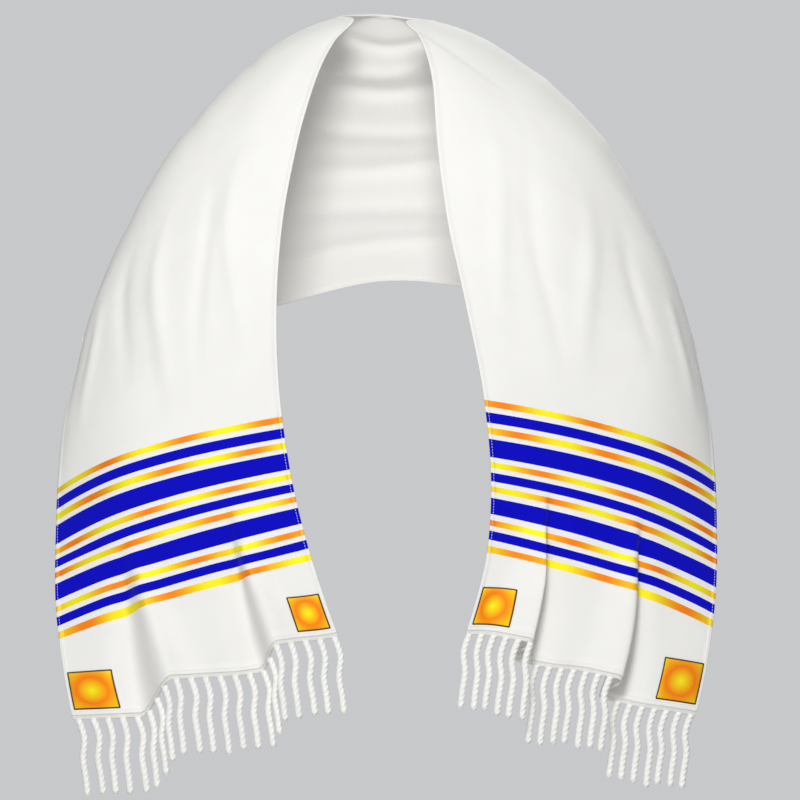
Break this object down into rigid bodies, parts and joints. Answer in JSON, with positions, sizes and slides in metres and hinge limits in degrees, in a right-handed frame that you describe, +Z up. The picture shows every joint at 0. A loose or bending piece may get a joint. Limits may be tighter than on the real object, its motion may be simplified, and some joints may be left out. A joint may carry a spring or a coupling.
{
  "type": "tallit prayer shawl",
  "caption": "Stole-cut prayer shawl draped as worn over unseen shoulders, with woven bands, corner patches and a fringe along each end.",
  "frame": {"origin": "between the wearer's shoulders at the base of the neck, level with the neck edge, where the wearer holds the shawl up", "axes": "+Z up, -Y the wearer's front where both ends hang, +X towards the wearer's left hand"},
  "size_m": [0.7979, 0.3062, 0.9415],
  "materials": {
    "white_wool": "matt plain weave with blue and gold woven bands",
    "gold_cloth": "satin gold cloth",
    "fringe_wool": "matt twisted wool"
  },
  "bodies": {
    "root": {"shawl_cloth": "white_wool", "patch_left_inner": "gold_cloth", "patch_left_outer": "gold_cloth", "patch_right_inner": "gold_cloth", "patch_right_outer": "gold_cloth", "fringe_left": "fringe_wool", "fringe_right": "fringe_wool"}
  },
  "joints": []
}
